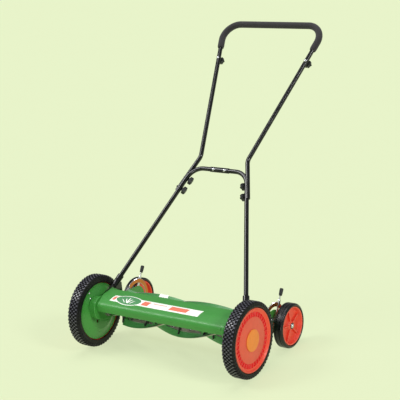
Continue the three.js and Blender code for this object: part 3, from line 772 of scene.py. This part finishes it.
# -------------------- tracking wheels
def tracking_wheel(side):
    body = f"tracking_wheel_{side}"
    low = TRACK_X
    half = [(low + 3, 66.2), (low, 68.5), (low, TRACK_R - 6), (low + 4, TRACK_R)]
    far = [(low + OUTER_X - x, r) for x, r in reversed(half)]
    section = eased(half + far, 4, loop=True)
    grooved = groove_cut([tuple(p) for p in section], (low + 11, OUTER_X - 11))
    solid = turned_ring(lambda turn: grooved, TRACK_AXLE, even_turns(96))
    make("tracking_tyre", solid, [tyre_smooth], body, side, ["tracking_tyre"])
    section = [(low + 2, 6.5), (low + 2, 13), (low + 16, 15), (low + 18, 56), (low + 2, 60.5)]
    section += [(low + 2, 65.7), (OUTER_X - 1.2, 65.7), (OUTER_X - 1.2, 62), (low + 24, 57)]
    section += [(low + 21, 52), (low + 21, 18)]
    section += [(OUTER_X - 7, 14), (OUTER_X - 5, 12), (OUTER_X - 5, 6.5)]
    rim = eased(section, 2.5, loop=True)

    def relief(x, y, z):
        r = math.dist((y, z), TRACK_AXLE)
        # Index 1, the lip and the rib tops, is a paler orange: painted highlight.
        if x > OUTER_X - 3 and r > 58 or x > low + 24 and 15 < r < 56:
            return 1
        # Index 2, the recessed dish and the ribs' sides, is a darker red: painted shade.
        return 2 if x > low + 18 and 15 < r < 62 else 0

    dish = turned_ring(lambda turn: rim, TRACK_AXLE, even_turns(96))
    ribs = [dish_rib(math.radians(72 * n + 24), low) for n in range(5)]
    solid = combined(dish, ribs, "UNION")
    make("tracking_rim", solid, [orange, orange_highlight, orange_dish_shade], body, side, ["tracking_rim"], relief)
    at = Vector((OUTER_X - 4.8, *TRACK_AXLE))
    washer = upright(at, OUTWARD, [(0, 11), (0.8, 11), (1.2, 10)], 32)
    make("tracking_washer", washer, [black_plastic], body, side)
    make("tracking_cap", dome(at + OUTWARD * 1.2, OUTWARD, 8, 3.4), [zinc], body, side, ["tracking_cap"])


def groove_cut(loop, places, depth=1.6, half=1.2):
    """Adds narrow grooves to the flat top of a tyre's section."""
    result = []
    done = False
    for before, after in zip(loop, loop[1:] + loop[:1]):
        result.append(before)
        flat = min(before[1], after[1]) > TRACK_R - 0.1 and after[0] - before[0] > 10
        if flat and not done:
            done = True
            for x in places:
                result += [(x - half, TRACK_R), (x - half * 0.5, TRACK_R - depth)]
                result += [(x + half * 0.5, TRACK_R - depth), (x + half, TRACK_R)]
    return result


def dish_rib(turn, low):
    """A rib on the dished face, from the hub out to the lip, tapering down as it goes."""
    sections = []
    for r, top in ((13, OUTER_X - 8), (35, OUTER_X - 8.5), (58, low + 27)):
        ring = []
        corners = [(2.4, low + 19), (2.0, top - 0.8), (1.2, top)]
        corners += [(-half, x) for half, x in reversed(corners)]
        for half, x in corners:
            y = TRACK_AXLE.x + r * math.cos(turn) - half * math.sin(turn)
            z = TRACK_AXLE.y + r * math.sin(turn) + half * math.cos(turn)
            ring.append((x, y, z))
        sections.append(ring)
    return loft(sections)


# -------------------- side plates
POCKET = (-23, 154)
POCKET_R = 42
HOUSING_R = 22  # round the reel's bearing
BEARING_R = 17.6
ARM_END_R = 40


def curve(a, control, b, steps=12):
    """The points of a quadratic curve after its first."""
    a, control, b = Vector(a), Vector(control), Vector(b)
    shares = [i / steps for i in range(1, steps + 1)]
    return [tuple(a.lerp(control, t).lerp(control.lerp(b, t), t)) for t in shares]


def end_plate():
    outline = [(45, 203), (0, 199)] + arc(POCKET, POCKET_R, 1.35, 4.0, 36)
    outline += curve(outline[-1], (-38, 112), (40, 97))
    outline += curve(outline[-1], (88, 88), (103, 44.7))
    outline += [(138, 44.7)]
    outline += curve(outline[-1], (150, 50), (150, 70), 6)
    outline += curve(outline[-1], (150, 130), (92, 165))
    return plate(outline + [(78, 182)], PLATE_X, PLATE_X + SHEET)


def side_plate(side):
    """Pressed sheet: an end plate for the deck, a pocket round the deck's corner, a dished disc
    inside the wheel, a bearing housing and a long rear arm."""
    high = WEB_PLATE_X + SHEET
    wall = arc(POCKET, POCKET_R, 1.62, 4.0, 36) + arc(POCKET, POCKET_R - SHEET, 4.0, 1.62, 36)
    front = [(WEB_PLATE_X, 50), (WEB_PLATE_X, 62), (DISC_X, 91), (DISC_X, 95)]
    back = [(DISC_X + SHEET, 95), (DISC_X + SHEET, 89), (high, 60), (high, 50)]
    lip = [(DISC_X - 0.9, 96.6), (DISC_X - 0.6, 98.4), (DISC_X + 0.4, 99), (DISC_X + SHEET - 0.6, 98.6)]
    dish = [(WEB_PLATE_X, 4), *eased(front, 6), *lip, *eased(back, 6), (high, 4)]
    bead = [Vector((PLATE_X + 1.2, y, z)) for y, z in arc(POCKET, POCKET_R, 1.62, 4.0, 40)]
    housing = [(PLATE_X - 1, HOUSING_R - 1), (PLATE_X, HOUSING_R)]
    housing += [(high - 1, HOUSING_R), (high, HOUSING_R - 1)]
    whole = combined(
        turned(dish, AXLE, 128),
        [
            end_plate(),
            plate(wall, PLATE_X + 0.2, high - 0.2),
            sweep(bead, 1.9, 12),
            turned(housing, REEL, 48),
            plate(belt(REEL, 34, PIVOT, ARM_END_R, 32), WEB_PLATE_X + 0.1, high - 0.1),
        ],
        "UNION",
    )
    holes = [
        turned([(PLATE_X - 2, AXLE_BORE_R), (high + 1, AXLE_BORE_R)], AXLE, 32),
        turned([(PLATE_X - 2, BEARING_R), (DISC_X + 4, BEARING_R)], REEL, 48),
        turned([(WEB_PLATE_X - 1, 5.6), (high + 1, 5.6)], PIVOT, 24),
        turned([(PLATE_X - 2, 6), (high + 1, 6)], (-29.4, 101.7), 24),
    ]
    pierced = combined(whole, holes, "DIFFERENCE")
    make("side_plate", pierced, [green], "frame", side, ["side_plate"], sharp=28)
    rib = belt((REEL.x + 30, REEL.y - 2), 8, (PIVOT.x - 34, PIVOT.y + 2), 7, 16)
    make("arm_rib", plate(rib, high - 1, high + 1.6, chamfer=1.2), [green], "frame", side)
    heads = [
        bolt(Vector((PLATE_X - 0.2, 112, 66)), -OUTWARD, 4.5),
        bolt(Vector((PLATE_X - 0.2, 131, 76)), -OUTWARD, 4.5),
        bolt(Vector((high, *TIE_ROD)), OUTWARD, 6),
    ]
    for r, turn in ((92, 2.06), (79, 2.2)):
        x = DISC_X - 1.2 - max(91 - r, 0) * 0.42
        heads.append(dome(Vector((x, *polar(AXLE, r, turn))), -OUTWARD, 3.4, 2.4))
    make("plate_bolts", together(*heads), [zinc], "frame", side)
    make("handle_stop", handle_stop(), [zinc], "frame", side)


def on_arm(along, across):
    """A point on the handle arm's line from the wheel axle, and a distance to its front."""
    slope = math.atan2(1, LOWER_SLOPE)
    return (
        AXLE.x + along * math.cos(slope) - across * math.sin(slope),
        AXLE.y + along * math.sin(slope) + across * math.cos(slope),
    )


ARM_HALF_W = 9
FLARE_REAR = (98, -50)


def handle_stop():
    """The pin that the handle arm's rear edge rests on."""
    start = Vector(on_arm(60, -ARM_HALF_W))
    edge = Vector(on_arm(*FLARE_REAR)) - start
    away = Vector((edge.y, -edge.x)).normalized() * 5.3
    at = start + edge / 2 + away
    return turned([(PLATE_X - 2, 4), (PLATE_X - 1, 5), (WEB_PLATE_X + 2, 5), (WEB_PLATE_X + 3, 4)], at, 24)


# -------------------- deck, bed knife, cross members
DECK_SHEET = 2


def deck_line():
    """The deck's outside, from its front edge up and over to its rear edge."""
    line = [(-51, 151), (-53, 165)]
    line += curve(line[-1], (-53, 179), (-40, 185), 10)
    line += [(-20, 194)]
    line += curve(line[-1], (-13, 196.5), (-6, 197.5), 6)
    line += [(34, 202)]
    line += curve(line[-1], (41, 202.5), (41, 196), 6)
    return line + [(41, 192)]


def deck():
    outside = deck_line()
    travelled = [0.0]
    for a, b in zip(outside, outside[1:]):
        travelled.append(travelled[-1] + math.dist(a, b))
    inside = []
    for i, point in enumerate(outside):
        before = Vector(outside[max(i - 1, 0)])
        after = Vector(outside[min(i + 1, len(outside) - 1)])
        along = (after - before).normalized()
        inside.append(tuple(Vector(point) + Vector((along.y, -along.x)) * DECK_SHEET))
    end = PLATE_X - GAP
    outline = outside + inside[::-1]
    rings = [[(x, y, z) for y, z in outline] for x in (-end, -end + 0.5, end - 0.5, end)]
    obj = make("deck", loft(rings), [deck_paint], "frame", slot="green_enamel", replaces=["deck_shield"])
    round_way = travelled + travelled[::-1]
    layer = obj.data.uv_layers.new(name="decal")
    for loop in obj.data.loops:
        x = obj.data.vertices[loop.vertex_index].co.x
        layer.data[loop.index].uv = (x, round_way[loop.vertex_index % len(outline)] * MM)
    hem = obj.modifiers.new("hem", "BEVEL")
    hem.width = 0.35 * MM
    hem.segments = 2
    hem.limit_method = "ANGLE"
    hem.angle_limit = math.radians(50)
    heads = [dome(Vector((x, -51.9, 173)), Vector((0, -1, 0.25)), 4.2, 2.2) for x in (-246, 246)]
    make("deck_rivets", together(*heads), [green], "frame")
    # A thin white tab standing off the deck's rear edge: a painted highlight where a blade behind the deck
    # glints.
    tab = [(40, 201), (50, 207.4), (50, 208.2), (40, 201.8)]
    glint_patch = loft([[(x, y, z) for y, z in tab] for x in (-60, -24)])
    make("rear_glint_patch", glint_patch, [glint_white], "frame", slot="green_enamel")


def knife():
    (_, front, low), (_, back, _) = box_of("cutter_bar")
    high = low + 33
    outline = [(front, low), (back - 3, low), (back, low + 3), (back, high), (back - 4, high)]
    outline += [(back - 4, low + 7), (back - 7, low + 4), (front, low + 4)]
    end = PLATE_X - GAP
    solid = plate(outline, -end, end, chamfer=0.5)
    # The bar's near-white colour is painted light.
    make("cutter_bar", solid, [bar_painted_light], "frame", slot="zinc", replaces=["cutter_bar"])
    (_, front, bottom), (_, back, top) = box_of("bed_knife")
    blade = [(front + 3, bottom), (back, bottom), (back, top), (front, top)]
    solid = plate(blade, -HALF_CUT, HALF_CUT, chamfer=0.15)
    make("bed_knife", solid, [steel], "frame", replaces=["bed_knife"])
    screws = []
    for n in range(7):
        at = Vector((-216 + 72 * n, back - 9, top))
        screws.append(dome(at, Vector((0, 0, 1)), 5, 2.2))
    make("knife_screws", together(*screws), [zinc], "frame")
    rod = [(-284.7, 6.2), (-284, 7), (284, 7), (284.7, 6.2)]
    make("rear_tie_rod", turned(rod, TIE_ROD, 32), [black], "frame", replaces=["tie_rod"])


def box_of(node):
    """A node's corners in this script's millimetres."""
    low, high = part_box(node)
    shift = Vector((0, AXLE_ROW_Y, 0))
    return low / MM - shift, high / MM - shift


# -------------------- reel
BLADES = 5
BLADE_PITCH = 1030
BLADE_PHASE = 1.08


def around_reel(x, index, out, across):
    turn = BLADE_PHASE + 2 * math.pi * (x / BLADE_PITCH + index / BLADES)
    y = REEL.x + out * math.sin(turn) + across * math.cos(turn)
    return Vector((x, y, REEL.y + out * math.cos(turn) - across * math.sin(turn)))


def blade(index):
    """A helical blade, swept back from its ground edge, with a rolled inner edge."""
    section = [(-9, 44.4), (-8.6, 44), (-6.4, 44), (-6, 44.4), (-3.8, 52), (0, 65.6), (0, 66)]
    section += [(-2.6, 65.4), (-6.6, 52.4)]
    rings = []
    steps = 90
    for step in range(steps + 1):
        x = -HALF_CUT + 2 * HALF_CUT * step / steps
        rings.append([around_reel(x, index, out, across) for across, out in section])

    def edge_kind(x, y, z):
        return 1 if math.dist((y, z), REEL) > 64.8 else 0

    number = index + 1
    nodes = [f"reel_blade_{number}"]
    finishes = [blade_paint, ground]
    make(f"blade_{number}", loft(rings), finishes, "reel", replaces=nodes, pick=edge_kind, sharp=24)
    rivets = []
    for x in SPIDER_X:
        at = around_reel(x, index, 51, 3.2)
        rivets.append(dome(at, at - around_reel(x, index, 51, 0), 2.0, 1.4))
    make(f"blade_rivets_{number}", together(*rivets), [iron], "reel")


LUGGED_ARM = ((17, 6), (40, 3.2), (45, 3.4), (56, 4.5), (57, 3.5), (57, -1), (44.5, -4.4), (43, -4.8))
LUGGED_ARM += ((43, -12), (40, -11.6), (17, -6))
SPIDER_X = [middle(f"reel_spider_{n + 1}").x for n in range(5)]


def spider(n):
    """A star whose arms end in lugs against the blades, on a collar."""
    x = SPIDER_X[n]
    outline = []
    for index in range(BLADES - 1, -1, -1):
        for out, across in LUGGED_ARM:
            point = around_reel(x, index, out, across)
            outline.append((point.y, point.z))
    star = plate(outline, x - 2, x + 2, [circle(REEL, 9.2, 32)], 0.5)
    section = [(x - 7, 9.2), (x - 7, 13.4), (x - 6.2, 14.2), (x + 6.2, 14.2), (x + 7, 13.4), (x + 7, 9.2)]
    collar = turned_ring(lambda turn: section, REEL, even_turns(40))
    make(f"spider_{n + 1}", together(star, collar), [iron], "reel", replaces=[f"reel_spider_{n + 1}"])


def reel_shaft():
    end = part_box("reel_shaft")[1].x / MM
    profile = [(-end, 6), (-end + 1, 7), (-DISC_X, 7), (-DISC_X, 9)]
    profile += [(-x, r) for x, r in reversed(profile)]
    make("shaft", turned(profile, REEL, 40), [steel], "reel", replaces=["reel_shaft"])


# -------------------- height levers
LEVER_LEAN = math.radians(30.6)
PIVOT_BORE_R = 5.4
SECTOR_SHEET = 2.5


def on_lever(distance, x=0.0):
    y = PIVOT.x + distance * math.sin(LEVER_LEAN)
    return Vector((x, y, PIVOT.y + distance * math.cos(LEVER_LEAN)))


def sector():
    """A plate on the pivot with a leg to the rear and an arched rim, notched where the lever stops."""
    rear, leg_end, front = [math.radians(a) for a in (-35, -12, 125)]
    steps = 80
    outline = []
    for i in range(steps + 1):
        turn = rear + (front - rear) * i / steps
        r = 64.6 if 24 < i < 74 and i % 4 == 0 else 67
        outline.append(polar(PIVOT, r, turn))
    outline += arc(PIVOT, 50.5, front + 0.03, leg_end, 40)
    outline += arc(PIVOT, 16, leg_end, rear + 2 * math.pi, 36)
    return plate(outline, SECTOR_X, SECTOR_X + SECTOR_SHEET, [circle(PIVOT, PIVOT_BORE_R, 24)], 0.8)


def height_setting(side):
    def face_or_edge(x, y, z):
        return 0 if 0.05 < x - SECTOR_X < SECTOR_SHEET - 0.05 else 1

    make("sector", sector(), [zinc, passivated], "frame", side, ["height_sector"], face_or_edge)
    body = f"height_lever_{side}"
    high = LEVER_X + SHEET
    pivot_hole = [circle(PIVOT, PIVOT_BORE_R, 24)]
    arm = plate(belt(PIVOT, 14, TRACK_AXLE, 11), LEVER_X, high, pivot_hole)
    strap = plate(belt(PIVOT, 6.5, on_lever(106).yz, 3.2), LEVER_X + 0.2, high - 0.2, pivot_hole)
    latch = plate(belt(on_lever(59).yz, 5.5, on_lever(73).yz, 5), LEVER_X - 0.6, high + 1)
    axle = [(LEVER_X, 9), (LEVER_X + 0.8, 10), (high + 4, 10), (high + 5, 6)]
    spindle = turned(axle + [(OUTER_X - 7, 6), (OUTER_X - 6, 5)], TRACK_AXLE, 32)
    make("lever", combined(arm, [strap, latch, spindle], "UNION"), [zinc], body, side, ["height_lever"])
    axis = on_lever(1) - on_lever(0)
    at = on_lever(89, LEVER_X + SHEET / 2)
    radii = [(0, 4.4), (0.8, 5.6), (4, 5.4), (5, 6.1), (21, 6.7), (24, 6.2), (25.6, 4.4), (26, 1.5)]
    make("lever_grip", upright(at, axis, radii, 28), [black_plastic], body, side, ["lever_grip"])
    inner = WEB_PLATE_X - GAP
    pin = [(inner - 5, 7), (inner - 4, 9), (inner, 9), (inner, 5), (high + GAP, 5), (high + GAP, 9)]
    pin += [(high + 2.5, 9), (high + 4, 6.5)]
    make("lever_pivot", turned(pin, PIVOT, 32), [zinc], "frame", side, ["lever_pivot"])


# -------------------- handle
def flipped(point):
    return Vector((-point.x, point.y, point.z))


def lower_path():
    corner = lower_point(SPLICE_Z)
    return bent([lower_point(FOOT_Z), corner, Vector((1, *corner.yz))], 62)


def handle_side(side):
    make("lower_tube", sweep(lower_path(), TUBE_R), [black], "handle", side, ["lower_tube"])
    foot = lower_point(MIDDLE_FOOT_Z, 5)
    corners = [foot, upper_point(MIDDLE_CORNER_Z), upper_point(MIDDLE_TOP_Z)]
    whole = sweep(bent(corners, 40), TUBE_R)
    saddle = combined(whole, [sweep(lower_path(), TUBE_R + 0.25)], "DIFFERENCE")
    make("middle_tube", saddle, [black], "handle", side, ["middle_tube"])
    handle_arm(side)
    along = (lower_point(1) - lower_point(0)).normalized()
    behind = Vector((0, 1, -LOWER_SLOPE)).normalized()
    inward = along.cross(behind)
    if inward.x > 0:
        inward = -inward
    stud = (inward + behind * 0.57).normalized()
    for place, z in LOWER_KNOB_Z.items():
        knob(f"joint_knob_{place}", side, lower_point(z), stud)
        head = bolt(lower_point(z) - stud * (TUBE_R - 0.5 + (3 if z < 510 else 0)), -stud, 3.6)
        make(f"joint_bolt_{place}", head, [black], "handle", side)
    behind = Vector((0, 1, -1)).normalized()
    knob("loop_knob", side, upper_point(LOOP_KNOB_Z), behind)
    front = upper_point(LOOP_KNOB_Z) - behind * (TUBE_R - 0.6)
    make("loop_bolt", dome(front, -behind, 5.2, 3), [zinc], "handle", side)


def handle_arm(side):
    """The flat arm on the wheel axle, flared towards its socket."""
    outline = arc(AXLE, 14, math.radians(175), math.radians(282), 14)
    outline += [on_arm(60, -ARM_HALF_W), on_arm(*FLARE_REAR), on_arm(124, -27), on_arm(108, ARM_HALF_W)]
    outline += [on_arm(80, 22), on_arm(55, 40), on_arm(20, 13)]
    along = (lower_point(FOOT_Z + 1) - lower_point(FOOT_Z)).normalized()
    foot = lower_point(FOOT_Z)
    strap = plate(outline, ARM_X, ARM_X + 6, [circle(AXLE, AXLE_BORE_R, 32)], 0.8)
    socket = sweep([foot + along * d for d in (-14, -13, 31, 32)], socket_radius)
    bore = sweep([foot - along * 40, foot + along * 60], TUBE_R + 0.5)
    solid = combined(combined(strap, [socket], "UNION"), [bore], "DIFFERENCE")
    make("handle_arm", solid, [black], "handle", side, ["handle_arm"])
    facing = Vector((0, -0.75, 0.66))
    rivet = dome(foot + along * 12 + facing * (TUBE_R + 3), facing, 4, 2)
    make("arm_rivet", rivet, [black], "handle", side)


def socket_radius(t):
    return TUBE_R + (3.4 if 0.1 < t < 0.9 else 2.6)


KNOB_R = 13.2
KNOB_LOBES = 6
LOBE_HEIGHT = 1.4


def knob(name, side, tube_at, direction):
    """A six-lobed hand nut: a collar and a scalloped grip with a rolled top edge."""
    base = tube_at + direction * (TUBE_R + GAP)
    levels = [(0, 0.5), (3, 0.5), (3.2, 0.9), (4.2, 0.98), (12, 1.0), (14.4, 0.95)]
    levels += [(15.6, 0.82), (15.9, 0.45)]
    sections = []
    for height, share in levels:
        outline = []
        for i in range(72):
            turn = 2 * math.pi * i / 72
            lobed = KNOB_R + LOBE_HEIGHT * math.cos(KNOB_LOBES * turn) if share > 0.6 else 12
            outline.append(polar((0, 0), lobed * share, turn))
        sections.append((height, outline))
    make(name, stacked(base, direction, sections), [black_plastic], f"{name}_{side}", side, [name])


def loop_corners(start_z):
    near = [upper_point(start_z), upper_point(TOP_Z)]
    return near + [flipped(point) for point in reversed(near)]


def handle_top():
    loop = sweep(bent(loop_corners(MIDDLE_TOP_Z + GAP), LOOP_BEND_R), TUBE_R - 0.1)
    make("upper_loop", loop, [black], "handle", replaces=["upper_loop"])
    path = spread(bent(loop_corners(GRIP_Z), LOOP_BEND_R, 20), GRIP_STEPS)
    padding = sweep(path, grip_radius, 40)
    grip = make("foam_grip", padding, [foam], "handle", replaces=["foam_grip"])
    corner = lower_point(SPLICE_Z)
    ends = [Vector((x, *corner.yz)) for x in (-38, -37.4, 37.4, 38)]
    sleeve = sweep(ends, lambda t: TUBE_R + (1.5 if 0.1 < t < 0.9 else 1.0), 32)
    make("cross_bar_sleeve", sleeve, [black], "handle", replaces=["handle_splice"])
    facing = Vector((0, -0.9, 0.44))
    screws = []
    for x in (-23, 23):
        screws.append(dome(Vector((x, *corner.yz)) + facing * (TUBE_R + 0.8), facing, 5.2, 2.6))
    make("sleeve_screws", together(*screws), [zinc], "handle")


def grip_radius(t):
    end = min(t, 1 - t) * GRIP_STEPS
    return GRIP_R - (1.6 if end < 0.5 else 0.4 if end < 1.5 else 0)


def spread(path, count):
    """The same line with evenly spaced points."""
    lengths = [0.0]
    for a, b in zip(path, path[1:]):
        lengths.append(lengths[-1] + (b - a).length)
    result = []
    at = 0
    for i in range(count + 1):
        want = lengths[-1] * i / count
        while at < len(path) - 2 and lengths[at + 1] < want:
            at += 1
        share = (want - lengths[at]) / (lengths[at + 1] - lengths[at])
        result.append(path[at].lerp(path[at + 1], min(max(share, 0), 1)))
    return result


# -------------------- the mower
def recoloured(node, material):
    """A CAD node whose shape is right keeps it and gets a finished material."""
    obj = frame["nodes"][node]
    obj.data.materials.clear()
    obj.data.materials.append(material)
    obj.data.shade_smooth()
    obj.data.set_sharp_from_angle(angle=math.radians(32))
    edge = obj.modifiers.new("edge", "BEVEL")
    edge.width = 0.4 * MM
    edge.segments = 2
    edge.limit_method = "ANGLE"
    edge.angle_limit = math.radians(32)


for side in SIGN:
    driving_wheel(side)
    tracking_wheel(side)
    side_plate(side)
    height_setting(side)
    handle_side(side)
    recoloured(f"wheel_axle_{side}", steel)
    recoloured(f"reel_bearing_{side}", bronze)
    recoloured(f"pinion_{side}", steel)
deck()
knife()
for index in range(BLADES):
    blade(index)
for number in range(len(SPIDER_X)):
    spider(number)
reel_shaft()
handle_top()


# -------------------- floor, light and camera
def floor():
    bpy.ops.mesh.primitive_plane_add(size=60, location=(0, 8, 0))
    ground_sheet = bpy.context.object
    ground_sheet.name = "floor"
    ground_sheet.data.materials.append(floor_paper())


def soft_sun(name, towards, power, spread):
    """A studio soft box far away: even light on the whole floor, with soft shadows."""
    light = bpy.data.lights.new(name, "SUN")
    light.energy = power
    light.angle = math.radians(spread)
    lamp = bpy.data.objects.new(name, light)
    lamp.rotation_euler = Vector(towards).to_track_quat("Z", "Y").to_euler()
    bpy.context.scene.collection.objects.link(lamp)


def camera():
    """The catalogue view: from the front and the mower's left, a little above, slightly rolled."""
    azimuth, elevation, roll = (math.radians(v) for v in (35.5496, 17.1716, -5.0882))
    back = Vector((
        math.sin(azimuth) * math.cos(elevation),
        -math.cos(azimuth) * math.cos(elevation),
        math.sin(elevation),
    ))
    right = (-back).cross(Vector((0, 0, 1))).normalized()
    up = right.cross(-back)
    tilted_right = right * math.cos(roll) + up * math.sin(roll)
    tilted_up = up * math.cos(roll) - right * math.sin(roll)
    data = bpy.data.cameras.new("camera")
    data.lens = 105.31
    data.sensor_width = 36
    data.clip_end = 100
    view = bpy.data.objects.new("camera", data)
    place = Matrix((tilted_right, tilted_up, back)).transposed().to_4x4()
    place.translation = Vector((2227.07, AXLE_ROW_Y - 2871.36, 1673.33)) * MM
    view.matrix_world = place
    bpy.context.scene.collection.objects.link(view)
    bpy.context.scene.camera = view


def world():
    sky = bpy.data.worlds.new("studio")
    sky.use_nodes = True
    shade = sky.node_tree.nodes["Background"]
    shade.inputs["Color"].default_value = (0.93, 0.97, 1.0, 1)
    shade.inputs["Strength"].default_value = 0.3
    bpy.context.scene.world = sky
    bpy.context.scene.view_settings.view_transform = "Standard"


floor()
soft_sun("overhead", (-0.1, 0.1, 1.0), 1.35, 40)
soft_sun("side", (-0.555, -0.39, 0.734), 1.3, 22)
soft_sun("fill", (0.85, -0.15, 0.6), 1.3, 14)
soft_sun("front", (0.2, -1.0, 0.08), 0.75, 20)
camera()
world()
